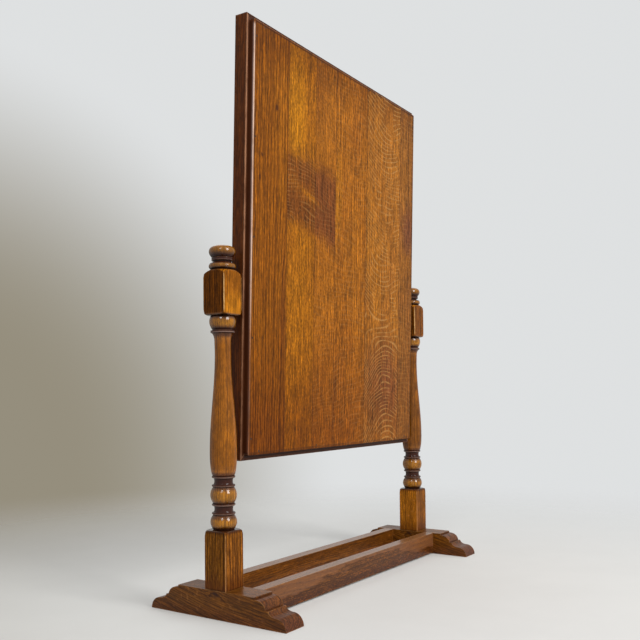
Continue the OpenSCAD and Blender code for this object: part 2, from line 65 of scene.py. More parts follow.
# Shader building. In what follows s is the shader, here a place in millimetres, p the same place with
# the grain along its third axis, and v the height above the pivot in the mirror's own axes.
class Nodes:
    """Short calls that add nodes to one node tree."""

    def __init__(self, tree):
        self.tree = tree

    def put(self, socket, value):
        if isinstance(value, bpy.types.NodeSocket):
            self.tree.links.new(value, socket)
        elif socket.type == "RGBA" and len(value) == 3:
            socket.default_value = (*value, 1)
        else:
            socket.default_value = value

    def add(self, kind, *values, **settings):
        """A shader node with values for its first inputs."""
        node = self.tree.nodes.new("ShaderNode" + kind)
        for key, value in settings.items():
            setattr(node, key, value)
        for socket, value in zip(node.inputs, values):
            if value is not None:
                self.put(socket, value)
        return node

    def math(self, operation, *values):
        return self.add("Math", *values, operation=operation).outputs[0]

    def times(self, first, *factors):
        for factor in factors:
            first = self.math("MULTIPLY", first, factor)
        return first

    def plus(self, first, second):
        return self.math("ADD", first, second)

    def minus(self, first, second):
        return self.math("SUBTRACT", first, second)

    def line(self, value, slope, start):
        """Value times slope, plus start."""
        return self.math("MULTIPLY_ADD", value, slope, start)

    def absolute(self, value):
        return self.math("ABSOLUTE", value)

    def off(self, value, place):
        """How far value lies from place, either way."""
        return self.absolute(self.minus(value, place))

    def vector(self, operation, *values):
        node = self.add("VectorMath", *values, operation=operation)
        return node.outputs["Value" if operation in ("LENGTH", "DOT_PRODUCT") else "Vector"]

    def split(self, vector):
        return self.add("SeparateXYZ", vector).outputs

    def join(self, x, y, z):
        return self.add("CombineXYZ", x, y, z).outputs[0]

    def ease(self, value, low, high, start=0.0, end=1.0):
        """Start where value is under low, end where it is over high, and smooth between them."""
        node = self.add("MapRange", value, low, high, start, end, interpolation_type="SMOOTHSTEP")
        return node.outputs[0]

    def fade(self, value, low, high):
        """1 where value is under low and 0 where it is over high."""
        return self.ease(value, low, high, 1.0, 0.0)

    def band(self, value, low, high, soft):
        """1 where value lies between low and high, with soft ends."""
        return self.math("MINIMUM", self.ease(value, low - soft, low + soft),
                         self.fade(value, high - soft, high + soft))

    def bands(self, value, ranges, soft):
        total = None
        for low, high in ranges:
            part = self.band(value, low, high, soft)
            total = part if total is None else self.math("MAXIMUM", total, part)
        return total

    def noise(self, vector, cell, seed, detail=3.0, rough=0.6, output="Fac"):
        """Noise of 0 to 1 with a feature size of cell millimetres along each axis."""
        scaled = self.vector("MULTIPLY", vector, tuple(1.0 / size for size in cell))
        moved = self.vector("ADD", scaled, (seed, 1.7 * seed, -0.6 * seed))
        node = self.add("TexNoise", moved)
        for key, value in (("Scale", 1.0), ("Detail", detail), ("Roughness", rough)):
            node.inputs[key].default_value = value
        return node.outputs[output]

    def clouds(self, vector, cell, seed, low, high, start=0.0, end=1.0, detail=3.0, rough=0.6):
        """Noise drawn apart into soft patches: start where it is under low and end over high."""
        return self.ease(self.noise(vector, cell, seed, detail, rough), low, high, start, end)

    def wavy(self, value, swing, vector, cell, seed, detail=3.0, rough=0.6):
        """Value plus noise times swing, so that an edge drawn from it wanders."""
        return self.line(self.noise(vector, cell, seed, detail, rough), swing, value)

    def mix(self, share, first, second):
        node = self.add("Mix", data_type="RGBA")
        for number, value in ((0, share), (6, first), (7, second)):
            self.put(node.inputs[number], value)
        return node.outputs[2]

    def tint(self, share, tone, factor):
        """Tone taken by share toward tone times factor."""
        return self.mix(share, tone, self.vector("MULTIPLY", tone, factor))

    def shade(self, tone, amount):
        """Tone made lighter or darker by the factor amount."""
        return self.vector("SCALE", tone, None, None, amount)


class Shader(Nodes):
    """The nodes of one material."""

    def __init__(self, name):
        self.material = bpy.data.materials.new(name)
        self.material.use_nodes = True
        super().__init__(self.material.node_tree)
        self.surface = self.tree.nodes["Principled BSDF"]

    def place(self, centre=(0, 0, 0), lean=0.0):
        """Place in millimetres from centre, with the lean taken away."""
        point = self.add("TexCoord").outputs["Object"]
        point = self.vector("MULTIPLY", point, (1 / MM, 1 / MM, 1 / MM))
        point = self.vector("SUBTRACT", point, centre)
        if lean:
            turn = self.add("VectorRotate", point, rotation_type="X_AXIS")
            turn.inputs["Angle"].default_value = lean
            point = turn.outputs[0]
        return point

    def along(self, point, grain):
        """The point with its axes changed round, so that the grain runs along the third."""
        x, y, z = self.split(point)
        return self.join(*{"Z": (x, y, z), "X": (z, y, x), "Y": (x, z, y)}[grain])

    def hollow(self, distance, inside=False):
        """1 on open surface, less within distance of a hollow, or of an edge when inside."""
        node = self.add("AmbientOcclusion", samples=6, inside=inside, only_local=True)
        node.inputs["Distance"].default_value = distance * MM
        return node.outputs["AO"]

    def bump(self, height, depth, strength):
        """Relief of the surface, which the coat over it follows less."""
        for socket, share in (("Normal", 1.0), ("Coat Normal", 0.15)):
            node = self.add("Bump")
            self.put(node.inputs["Height"], height)
            node.inputs["Strength"].default_value = share * strength
            node.inputs["Distance"].default_value = depth * MM
            self.put(self.surface.inputs[socket], node.outputs[0])

    def finish(self, **values):
        for key, value in values.items():
            self.put(self.surface.inputs[key.replace("_", " ")], value)
        return self.material


def dress(node, material):
    mesh = nodes[node].data
    mesh.materials.clear()
    mesh.materials.append(material)


# Oak
OLD_POLISH = (0.035, 0.010, 0.004)

# What the oak of a part is like unless the part says otherwise. The pith is the middle of the tree, as
# placed across the grain, and ring the width of a year ring, both in mm. Late and early are the tones
# within a ring, and contrast is how far they part. The strength of fibres, strokes, mottles and broad
# streaks is in thread, dash_depth, speck and broad, that of the rays in fleck, and the width of a stroke
# in dash. Dirt lies in the hollows, within dirt_reach in mm, and wear is on the edges.
OAK = dict(
    lean=0.0, grain="Z", slope=0.0, wander=1.0, knots=(), pore=(0.045, 0.016, 0.004),
    contrast=0.8, thread=0.3, dash=2.2, dash_depth=0.25, speck=0.12, broad=0.2,
    fleck=0.25, fleck_tone=(0.44, 0.17, 0.035), dirt_reach=7.0, wear_tone=(0.42, 0.2, 0.06),
    rough=0.42, gloss=0.15, marks=None)


def sideways(s, p, cell, seed, swing, detail):
    """A push across the grain, up to about half of swing each way."""
    push = s.vector("SUBTRACT", s.noise(p, cell, seed, detail, 0.5, "Color"), (0.5, 0.5, 0.5))
    return s.vector("MULTIPLY", push, (swing, swing, 0))


def growth(s, p, look):
    """The grain as it wanders along the board, and the distance from the pith, way round and height."""
    broad = sideways(s, p, (95, 95, 420), look.seed, 26 * look.wander, 1.0)
    fine = sideways(s, p, (16, 16, 90), look.seed + 7, 3.4 * look.wander, 2.0)
    bent = s.vector("ADD", s.vector("ADD", p, broad), fine)
    x, y, z = s.split(s.vector("SUBTRACT", bent, (*look.pith, 0)))
    around = s.times(s.math("ARCTAN2", y, x), math.hypot(*look.pith) + 8)
    return bent, s.vector("LENGTH", s.join(x, y, 0.0)), around, z


def from_knot(s, p, across, along, size):
    """Distance from the middle of a knot, in its own sizes; it is longer along the grain."""
    away = s.vector("SUBTRACT", p, (0, across, along))
    return s.vector("LENGTH", s.vector("MULTIPLY", away, (0, 1 / size, 0.5 / size)))


def spring_wood(s, radius, look):
    """Rings of uneven width: 1 near where each begins, dark and porous, and 0 where it ends."""
    uneven = s.noise(s.join(radius, 0.0, 0.0), (13, 13, 13), look.seed + 3, 1.0, 0.5)
    phase = s.math("FRACT", s.math("DIVIDE", s.line(uneven, 12.0, radius), look.ring))
    return s.times(s.minus(1.0, s.ease(phase, 0.0, 0.62)), s.ease(phase, 0.0, 0.08, 0.3, 1.0))


def varied(s, tone, noise, depth, low=0.30):
    """Tone that is darker where noise is low and lighter where it is high."""
    return s.shade(tone, s.ease(noise, low, 1 - low, 1 - depth, 1 + depth))


def aged(s, here, tone, look):
    """Old polish gathers in the hollows and is rubbed off the edges."""
    if look.dirt:
        low = s.fade(s.hollow(look.dirt_reach), 0.55, 0.97)
        tone = s.mix(s.times(low, look.dirt), tone, OLD_POLISH)
    if look.wear:
        edge = s.fade(s.hollow(1.6, inside=True), 0.55, 0.95)
        patchy = s.clouds(here, (9, 9, 22), look.seed + 53, 0.38, 0.62)
        tone = s.mix(s.times(edge, patchy, look.wear), tone, look.wear_tone)
    return tone


def oak(name, **look):
    """Old lacquered oak: rings round a pith, pores, rays, streaks, dirt in hollows, worn edges."""
    look = SimpleNamespace(**{**OAK, **look})
    seed, dash = look.seed, look.dash
    s = Shader(name)
    here = s.place(look.centre, look.lean)
    p = s.along(here, look.grain)
    if look.slope:
        p = s.vector("ADD", p, s.join(0.0, s.times(s.split(p)[2], look.slope), 0.0))
    bent, radius, around, height = growth(s, p, look)
    knots = [(size, from_knot(s, p, across, along, size)) for across, along, size in look.knots]
    for size, away in knots:
        radius = s.plus(radius, s.ease(away, 0.0, 3.6, 2.4 * size, 0.0))
    spring = spring_wood(s, radius, look)
    # fibres and pores run with the grain
    fibre = s.noise(bent, (1.3, 1.3, 34), seed + 11, 3.0, 0.65)
    streak = s.noise(bent, (7, 7, 190), seed + 17, 2.0, 0.55)
    stroke = s.noise(bent, (dash, dash, 8 * dash), seed + 19, 2.0)
    mottle = s.noise(p, (0.8 * dash, 0.8 * dash, 1.8 * dash), seed + 29, 1.0, 0.5)
    vessel = s.clouds(p, (0.5, 0.5, 7.5), seed + 23, 0.57, 0.68, detail=1.0, rough=0.5)
    vessel = s.times(vessel, s.line(spring, 0.75, 0.25))
    # rays lie across the rings, so they show as flecks on a face cut along a radius
    across = s.join(around, radius, height)
    ray = s.clouds(across, (1.5, 15, 8), seed + 31, 0.60, 0.68, detail=2.0, rough=0.5)
    # colour
    tone = s.mix(s.times(spring, look.contrast), look.late, look.early)
    tone = s.mix(s.times(ray, look.fleck), tone, look.fleck_tone)
    tone = varied(s, tone, fibre, look.thread)
    tone = varied(s, tone, stroke, look.dash_depth)
    tone = varied(s, tone, mottle, look.speck)
    tone = varied(s, tone, streak, look.broad, 0.28)
    cloud = s.clouds(p, (45, 45, 130), seed + 41, 0.35, 0.75, 0.0, 0.45, detail=2.0, rough=0.5)
    tone = s.tint(cloud, tone, (0.72, 0.64, 0.95))
    if look.marks:
        tone = look.marks(s, here, tone)
    tone = s.mix(s.times(vessel, 0.75), tone, look.pore)
    for size, away in knots:
        tone = s.mix(s.times(s.fade(away, 0.35, 1.1), 0.9), tone, OLD_POLISH)
    tone = aged(s, here, tone, look)
    # gloss and relief
    smear = s.noise(here, (30, 30, 60), seed + 61)
    matt = s.plus(s.line(smear, 0.16, look.rough - 0.08), s.times(vessel, 0.25))
    s.bump(s.minus(s.times(fibre, 0.35), s.line(spring, 0.3, vessel)), 0.12, 0.6)
    coat = look.coat(s, here) if callable(look.coat) else look.coat
    return s.finish(Base_Color=tone, Roughness=matt, Specular_IOR_Level=look.gloss, Coat_Weight=coat,
                    Coat_Roughness=0.11, Coat_IOR=1.5, IOR=1.45)


# The back of the mirror: what its boards are like, with each pith given from the board's middle
# The bluer tones of boards 5 to 7 are a painted sheen of the lacquer.
BOARDS = (
    dict(pith=(330, -30), ring=7.0, tone=(0.86, 0.77, 0.50),
         fleck=0.15, contrast=1.0, dash_depth=0.32, speck=0.15),
    dict(pith=(-240, -90), ring=6.2, tone=(1.00, 0.97, 0.65),
         fleck=0.15, contrast=0.45, dash_depth=0.36, speck=0.28),
    dict(pith=(-260, -110), ring=5.6, tone=(1.02, 0.96, 0.95),
         fleck=0.25, contrast=0.50, dash_depth=0.38, speck=0.26),
    dict(pith=(300, -60), ring=6.6, tone=(1.05, 0.99, 1.00),
         fleck=0.25, contrast=0.62, dash_depth=0.40, speck=0.24),
    dict(pith=(-240, -40), ring=6.0, tone=(1.06, 1.06, 1.40),
         fleck=0.45, contrast=0.40, dash_depth=0.36, speck=0.26),
    dict(pith=(260, -30), ring=5.4, tone=(1.08, 1.10, 1.80),
         fleck=0.50, contrast=0.35, dash_depth=0.36, speck=0.28),
    dict(pith=(-260, -40), ring=6.4, tone=(0.88, 0.92, 2.00),
         fleck=0.20, contrast=0.85, dash_depth=0.36, speck=0.20),
)
BACK = dict(thread=0.36, dash=2.4, broad=0.18, wander=1.5, dirt=0.0, wear=0.0,
            rough=0.5, gloss=0.1, coat=0.0)
BACK_LATE, BACK_EARLY, BACK_FLECK = (0.345, 0.120, 0.008), (0.15, 0.044, 0.003), (0.50, 0.20, 0.02)
RAY_TONE = (0.52, 0.26, 0.075)
SPECK_TONE = (0.05, 0.014, 0.005)
SEAM_TONE = (0.075, 0.022, 0.006)
DARKER_WITH_SHEEN = (0.50, 0.43, 1.30)        # factor for a darker patch, with a painted purple sheen
UNDER_TOP = (0.68, 0.63, 0.48)     # factor for the shade under the top edge
TO_BOTTOM = (0.63, 0.53, 0.44)     # and for the shade toward the bottom


def tinted(colour, factor):
    return tuple(c * f for c, f in zip(colour, factor))


def blot(s, u, v, at, size, soft, ragged=0.0):
    """A soft-edged oval, 1 inside and 0 outside, in two coordinates."""
    a = s.math("DIVIDE", s.minus(u, at[0]), size[0])
    b = s.math("DIVIDE", s.minus(v, at[1]), size[1])
    far = s.vector("LENGTH", s.join(a, b, 0.0))
    if ragged:
        edge = s.noise(s.join(u, v, 0.0), (22, 40, 1), at[0], rough=0.5)
        far = s.plus(far, s.times(s.minus(edge, 0.5), ragged))
    return s.fade(far, 1 - soft, 1 + soft)


def oval_mark(s, x, v, tone, share, factor=None, cover=None, **oval):
    """Tone with one oval mark, which multiplies the tone by factor or covers it with another."""
    mark = s.times(blot(s, x, v, **oval), share)
    return s.tint(mark, tone, factor) if factor else s.mix(mark, tone, cover)


def dark_speck(at, size):
    return dict(at=at, size=size, soft=0.5, ragged=0.6, share=0.85, cover=SPECK_TONE)


PLUM = dict(at=(-132, -128), size=(70, 76), soft=0.7, ragged=0.6, share=0.75, factor=DARKER_WITH_SHEEN)
OVAL_MARKS = {
    1: (dict(at=(178, 280), size=(17, 125), soft=0.6, share=0.6, factor=(1.4, 1.5, 1.7)),
        dark_speck((191.9, 282.1), (3.2, 5.0)), dark_speck((230.1, 171.5), (2.6, 4.5)),
        dark_speck((226, 205), (2.0, 3.0)),
        dict(at=(170, -20), size=(5, 90), soft=0.6, ragged=0.5, share=0.6, factor=DARKER_WITH_SHEEN)),
    # On board 2 the upper golden oval is a painted pool of light.
    2: (dict(at=(143, 300), size=(24, 80), soft=0.6, share=0.55, factor=(1.5, 1.7, 1.2)),
        dict(at=(135, -30), size=(30, 95), soft=0.8, share=0.6, factor=(1.4, 1.5, 1.1))),
    4: (dict(at=(20, 190), size=(12, 60), soft=0.6, share=0.5, factor=(1.4, 1.6, 1.2)),),
    5: (PLUM,),
    6: (PLUM,),
    7: (dict(at=(-230, 165), size=(26, 40), soft=0.6, ragged=0.6, share=0.7, factor=DARKER_WITH_SHEEN),),
}


def dark_patch(s, x, v):
    """The dark reddish patch over boards 2 and 3: 1 between its two slanting, rippled edges."""
    ripple = s.times(s.noise(s.join(x, 0.0, v), (20, 20, 14), 4.2, rough=0.5), 30)
    low = s.minus(s.line(s.minus(x, EDGES[3]), -0.22, v), ripple)
    high = s.line(s.minus(x, EDGES[1]), -0.09, s.plus(v, ripple))
    return s.times(s.ease(low, 66, 100), s.fade(high, 224, 260))


def in_dark_patch(s, x, v, tone):
    """The patch on its boards, with a lighter streak and a fainter band that slant through it."""
    slope = s.line(x, -0.32, v)
    streak = blot(s, x, slope, (101, 135), (27, 4.5), 0.5)
    band = blot(s, x, slope, (125, 134), (48, 12), 0.8)
    clear = s.line(band, -0.3, s.line(streak, -0.5, 1.0))
    return s.tint(s.times(dark_patch(s, x, v), 0.95, clear), tone, DARKER_WITH_SHEEN)


def contour_rays(s, here, tone, x0, bend, pitch, seed, strength, zone=None):
    """Light lines where rays surface: arches round x0 low on the back, sagging higher up."""
    x, y, v = s.split(here)
    away = s.minus(x, x0)
    arch = s.line(s.times(away, away), s.ease(v, -80, 25, bend, -0.5 * bend), v)
    arch = s.wavy(arch, 40.0, s.join(x, v, 0.0), (95, 60, 1), seed, 1.0, 0.5)
    line = s.fade(s.off(s.math("FRACT", s.math("DIVIDE", arch, pitch)), 0.5), 0.03, 0.20)
    patch = s.clouds(here, (30, 30, 50), seed + 5, 0.34, 0.54, detail=2.0, rough=0.5)
    broken = s.clouds(here, (16, 16, 7), seed + 9, 0.30, 0.50, detail=2.0)
    on_face = s.ease(y, BACK_FACE - 1.5, BACK_FACE - 0.5)
    share = s.times(line, broken, patch, strength, on_face)
    if zone:
        share = s.times(share, zone(s, x, v))
    return s.mix(share, tone, RAY_TONE)


RAYS = {
    2: dict(x0=90, bend=0.0008, pitch=6.0, seed=5.0, strength=0.28, zone=dark_patch),
    3: dict(x0=0, bend=0.002, pitch=7.0, seed=6.0, strength=0.12),
    4: dict(x0=-100, bend=0.001, pitch=8.0, seed=7.0, strength=0.15),
    5: dict(x0=-150, bend=0.009, pitch=8.0, seed=8.0, strength=0.58),
    6: dict(x0=-150, bend=0.009, pitch=8.0, seed=8.0, strength=0.62),
    7: dict(x0=-260, bend=0.0, pitch=9.0, seed=9.0, strength=0.15),
}


def opened_seams(s, x, v, tone, number):
    """The glue lines on both sides of a board have opened a little and hold dirt."""
    seam = s.math("MINIMUM", s.off(x, EDGES[number - 1]), s.off(x, EDGES[number]))
    opened = s.clouds(s.join(0.0, 0.0, v), (1, 1, 60), 2.0 * number, 0.34, 0.6, 0.25, 0.9, detail=2.0)
    return s.mix(s.times(s.fade(seam, 0.4, 1.2), opened), tone, SEAM_TONE)


def inward(s, x, v, half_w, ends):
    """How far a place on the mirror lies in from the nearest side or end of a part."""
    side = s.minus(half_w, s.absolute(x))
    end = s.minus(0.5 * (ends[1] - ends[0]), s.off(v, halfway(ends)))
    return s.math("MINIMUM", side, end)


def back_edge(s, x, y, v, tone):
    """A dark line beside the rounding, painted shade on the sides of the back, and on its right edge a
    painted greyish reflection and a painted highlight.
    """
    line = s.band(inward(s, x, v, BACK_HALF_W, BACK_ENDS), 2.8, 5.4, 0.9)
    tone = s.mix(s.times(line, s.ease(v, 330, 385, 0.5, 0.92)), tone, (0.06, 0.018, 0.005))
    # Painted shade on the sides of the back, behind its face.
    side_shade = s.ease(s.minus(BACK_FACE, y), 0.25, 1.3)
    tone = s.mix(s.times(side_shade, 0.93), tone, (0.050, 0.013, 0.004))
    from_right = s.minus(BACK_HALF_W, x)
    patchy = s.clouds(s.join(x, y, v), (14, 14, 36), 2.2, 0.3, 0.6, 0.55, 1.0)
    patchy = s.times(patchy, s.ease(v, -90, 60, 0.12, 1.0), s.fade(v, 384, 391))
    # A painted greyish reflection along the rounded right edge.
    violet_reflection = s.times(s.band(from_right, 0.4, 1.5, 0.4), patchy, 0.7)
    tone = s.mix(violet_reflection, tone, (0.24, 0.17, 0.15))
    # A painted highlight on the rounding of the right edge.
    pale_edge = s.times(s.band(from_right, 1.3, 3.0, 0.4), patchy, 0.9)
    return s.mix(pale_edge, tone, (0.72, 0.50, 0.38))


def board_marks(s, here, tone, number):
    """What the photo shows on one board of the back."""
    x, y, v = s.split(here)
    if number in (2, 3):
        tone = in_dark_patch(s, x, v, tone)
    for mark in OVAL_MARKS.get(number, ()):
        tone = oval_mark(s, x, v, tone, **mark)
    tone = s.tint(s.ease(s.line(x, 0.06, v), 316, 392), tone, UNDER_TOP)
    bottom = s.times(s.fade(v, -215, 20), s.ease(x, -100, -20, 0.55, 1.0))
    tone = s.tint(bottom, tone, TO_BOTTOM)
    tone = opened_seams(s, x, v, tone, number)
    tone = back_edge(s, x, y, v, tone)
    return contour_rays(s, here, tone, **RAYS[number]) if number in RAYS else tone


def board_oak(number, pith, tone, **look):
    """The oak of one board of the back; tone is a factor on the colours of the whole back, and a painted
    sheen on boards 5 to 7.
    """
    middle = halfway((EDGES[number - 1], EDGES[number]))
    return oak("back_oak_%d" % number, seed=3.1 * number, pith=(middle + pith[0], pith[1]),
               late=tinted(BACK_LATE, tone), early=tinted(BACK_EARLY, tone),
               fleck_tone=tinted(BACK_FLECK, tone), marks=partial(board_marks, number=number),
               **look, **BACK, **MIRROR)


for number, board in enumerate(BOARDS, 1):
    dress("back_board_%d" % number, board_oak(number, **board))


# The frame of the mirror, darker than its back
FRAME = dict(late=(0.122, 0.031, 0.004), early=(0.055, 0.013, 0.0015), pore=(0.02, 0.006, 0.001),
             ring=2.6, thread=0.35, dash_depth=0.3, fleck=0.2, fleck_tone=(0.20, 0.07, 0.02),
             wear_tone=(0.36, 0.17, 0.08), dirt=0.5, wear=0.5, gloss=0.12, coat=0.04, lean=LEAN)
FRAME_BACK = FRAME_FACE - 0.2      # from this depth on it is the back face of the frame


def rail_marks(s, here, tone):
    """Painted shade on the strip behind a rail, beside the back."""
    behind = s.ease(s.split(here)[Y], FRAME_BACK - 1.1, FRAME_BACK)
    return s.mix(s.times(behind, 0.8), tone, (0.030, 0.009, 0.004))


def stile_marks(s, here, tone):
    """Painted shade on the strip beside the back, which is paler along its outer edge."""
    x, y, v = s.split(here)
    # Painted shade on the strip of the frame beside the back.
    behind = s.ease(y, FRAME_BACK - 0.4, FRAME_BACK)
    tone = s.mix(s.times(behind, 0.8), tone, (0.035, 0.010, 0.004))
    edge = s.band(s.minus(STILE_HALF_W, s.absolute(x)), 0.4, 3.6, 0.6)
    patchy = s.clouds(here, (8, 8, 30), 4.0, 0.3, 0.6, 0.45, 1.0)
    pale_edge = s.times(behind, edge, patchy, s.ease(v, -200, 140, 0.35, 1.0))
    return s.mix(pale_edge, tone, (0.36, 0.170, 0.090))


for name, pith, seed in (("left_stile", (60, -30), 1.3), ("right_stile", (-45, 50), 5.7)):
    dress(name, oak("frame_oak_" + name, centre=(halfway(reach(name, X)), 0, PIVOT_Z), pith=pith,
                    seed=seed, marks=stile_marks, **FRAME))
for name, pith, seed in (("top_rail", (80, 30), 9.1), ("bottom_rail", (50, -60), 12.9)):
    middle = halfway(reach(name, Z, **MIRROR))
    dress(name, oak("frame_oak_" + name, centre=(0, 0, PIVOT_Z), grain="X", seed=seed,
                    pith=(pith[0] + middle, pith[1]), marks=rail_marks, **FRAME))


# The posts, with heights above the floor in millimetres. First come the square blocks, the dark collars
# of the turned parts with their thin rims, the creases beside the blocks, the ends of the turned parts,
# darkened by painted shade, and what is paler on their beads.
BLOCKS = ((39.0, 118.5), (418.5, 478.0))
COLLARS = ((139.6, 156.6), (178.2, 195.0), (391.0, 398.6), (487.5, 500.5))
RIMS = ((141.0, 142.2), (153.2, 154.4), (179.2, 180.4), (191.4, 192.6), (392.4, 393.6), (493.2, 494.4))
CREASES = ((118.6, 121.8), (413.6, 417.6), (478.6, 482.6))
SHADED_ENDS = ((116.0, 124.0), (135.0, 160.0), (174.2, 199.0), (386.0, 401.0), (411.0, 417.0),
             (488.6, 503.5))
BEADS = ((119.5, 139.5), (156.5, 178.0), (397.0, 417.0), (480.0, 489.0), (497.0, 515.0))
SHAFT = (200, 384)
FOOT_JOINT = (39.4, 41.2)          # where the dirt of the joint with the foot ends
BASE_TOP = (119.5, 121)            # where the look of the base block ends
PIVOT_FOOT = (414, 417)            # where the look of the pivot block begins
PIVOT_TOP = (479, 481)             # and ends
FINIAL_FOOT = (479.5, 481.5)       # where the look of the finial begins
RIM_RADIUS = (14.6, 15.8)

LIT_GOLDEN = (0.58, 0.205, 0.010)      # golden oak: partly the wood, partly painted light where a side faces the lamps
STAND_RED = (0.35, 0.118, 0.005)
COLLAR_STAIN = (0.036, 0.007, 0.003)
CREASE_DIRT = (0.03, 0.009, 0.003)
JOINT_DIRT = (0.02, 0.006, 0.002)
SUNK_DIRT = (0.085, 0.020, 0.006)
RIM_REFLECTION = (0.36, 0.24, 0.19)
# Pale arris tones: wear, with a painted highlight.
LOW_ARRIS, HIGH_ARRIS = (0.50, 0.22, 0.07), (0.80, 0.48, 0.19)


def block_face(s, toward):
    """1 on the side of a block that faces the way in which toward grows."""
    return s.ease(toward, POST_HALF_W - 1.6, POST_HALF_W - 0.4)


def pivot_block(s, here, tone, out, gold):
    """Painted shade outside and a painted shadow of the mirror inside; behind, golden, partly the wood and
    partly painted light, or else dull brown.
    """
    x, y, z = s.split(here)
    block = s.times(s.ease(z, *PIVOT_FOOT), s.fade(z, *PIVOT_TOP))
    # Painted shade on the outer face of the pivot block.
    tone = s.tint(s.times(block, block_face(s, out)), tone, (0.33, 0.27, 0.2))
    # Painted shadow of the mirror on the inner face.
    tone = s.tint(s.times(block, block_face(s, s.times(out, -1))), tone, (0.42, 0.36, 0.4))
    behind = s.times(block, block_face(s, y))
    lit = s.times(behind, gold)
    # Golden: partly the wood, partly painted light on the face toward the lamps.
    tone = s.mix(s.times(lit, 0.45), tone, LIT_GOLDEN)
    tone = s.mix(lit, tone, s.shade(tone, s.clouds(here, (7, 7, 15), 9.4, 0.34, 0.66, 0.66, 1.12)))
    # Painted shade on the upper part of the lit face.
    shady = s.ease(s.wavy(z, 46.0, here, (14, 14, 26), 5.5), 452, 484)
    tone = s.tint(s.times(lit, shady, 0.8), tone, (0.60, 0.52, 0.6))
    return s.tint(s.times(behind, 1.0 - gold), tone, (0.44, 0.40, 0.9))


def base_block(s, here, tone, out):
    """Olive outside and reddish behind, with dirt toward the foot and in the joint with it."""
    x, y, z = s.split(here)
    block = s.fade(z, *BASE_TOP)
    tone = s.tint(s.times(block, block_face(s, out)), tone, (0.45, 0.46, 0.7))
    tone = s.tint(s.times(block, block_face(s, y)), tone, (0.54, 0.52, 0.85))
    sunk = s.fade(s.wavy(z, 26.0, here, (9, 9, 20), 3.3), 48, 84)
    tone = s.mix(s.times(sunk, block, 0.7), tone, SUNK_DIRT)
    return s.mix(s.times(s.fade(z, *FOOT_JOINT), 0.85), tone, JOINT_DIRT)


def turned_parts(s, here, tone, gold):
    """The turned parts have calmer grain, and are darker in the shaft and, by painted shade, toward their
    ends.
    """
    z = s.split(here)[Z]
    turned = s.minus(1.0, s.bands(z, BLOCKS, 1.5))
    tone = s.mix(s.times(turned, 0.5), tone, STAND_RED)
    tone = s.mix(turned, tone, s.shade(tone, s.clouds(here, (10, 10, 18), 8.3, 0.36, 0.64, 0.80, 1.10)))
    tone = s.tint(s.bands(z, BEADS, 1.2), tone, (0.94, 1.05, 0.72))
    dull = 0.72 + 0.28 * gold
    tone = s.tint(s.band(z, *SHAFT, 6), tone, (0.80 * dull, 0.75 * dull, 0.7))
    # Painted shade, with some dirt, toward the ends of the turned parts.
    return s.tint(s.times(s.bands(z, SHADED_ENDS, 2.4), 0.82), tone, (0.26, 0.18, 0.25))


def collars(s, here, tone):
    """Stain lies thick in the collars and creases, and a painted grey reflection lies on the thin rims."""
    x, y, z = s.split(here)
    tone = s.mix(s.times(s.bands(z, COLLARS, 1.0), 0.95), tone, COLLAR_STAIN)
    tone = s.mix(s.times(s.bands(z, CREASES, 0.8), 0.85), tone, CREASE_DIRT)
    radius = s.vector("LENGTH", s.join(x, y, 0.0))
    # A painted grey reflection on the thin rims.
    rims = s.times(s.bands(z, RIMS, 0.5), 0.55, s.ease(radius, *RIM_RADIUS))
    return s.mix(rims, tone, RIM_REFLECTION)


def arris_wear_and_highlight(s, here, tone):
    """Each long arris of the blocks is pale: worn by hands and polish, and with a painted highlight."""
    x, y, z = s.split(here)
    corner = s.math("MINIMUM", s.absolute(x), s.absolute(y))
    arris = s.times(s.ease(corner, POST_HALF_W - 1.2, POST_HALF_W - 0.6), s.bands(z, BLOCKS, 1.0))
    patchy = s.clouds(here, (6, 6, 14), 7.1, 0.3, 0.6, 0.35, 1.0)
    pale = s.mix(s.ease(z, BLOCKS[0][1] + 0.5, BASE_TOP[1]), LOW_ARRIS, HIGH_ARRIS)
    return s.mix(s.times(arris, patchy), tone, pale)


def post_marks(s, here, tone, side, gold):
    """Wear, staining, and painted light and shade of a post; side is its side of the stand, gold how pale
    its pivot block is.
    """
    x, y, z = s.split(here)
    out = s.times(x, side)
    tone = pivot_block(s, here, tone, out, gold)
    tone = s.tint(s.ease(z, *FINIAL_FOOT), tone, (0.52, 0.47, 0.5))
    tone = base_block(s, here, tone, out)
    tone = turned_parts(s, here, tone, gold)
    tone = collars(s, here, tone)
    return arris_wear_and_highlight(s, here, tone)


def turned_gloss(s, here):
    """The turned parts are polished; the shaft, the collars and most of all the blocks are duller."""
    z = s.split(here)[Z]
    coat = s.line(s.bands(z, BLOCKS, 1.5), -0.66, 0.72)
    coat = s.line(s.band(z, SHAFT[0] + 4, SHAFT[1] - 4, 8), -0.35, coat)
    return s.line(s.bands(z, COLLARS, 1.0), -0.32, coat)


POST = dict(late=(0.46, 0.160, 0.008), early=(0.085, 0.022, 0.002), pore=(0.03, 0.009, 0.002),
            ring=2.9, contrast=0.95, thread=0.45, dash=1.5, dash_depth=0.30, speck=0.18, broad=0.28,
            dirt=0.9, dirt_reach=9.0, wear=0.25, gloss=0.04, coat=turned_gloss)
for name, side, pith, seed, gold in (("left_post", -1, (14, 34), 2.4, 0.0),
                                     ("right_post", 1, (34, -30), 6.6, 1.0)):
    dress(name, oak("post_oak_" + name, centre=(side * POST_X, 0, 0), pith=pith, seed=seed,
                    marks=partial(post_marks, side=side, gold=gold), **POST))


# The feet and the stretchers between them
def low_dirt(s, here, tone):
    """Purple old dirt low down, up to a wavy line."""
    low = s.fade(s.wavy(s.split(here)[Z], 16.0, here, (20, 20, 14), 6.0), -8, 10)
    return s.tint(s.times(low, 0.6), tone, (0.62, 0.5, 1.3))


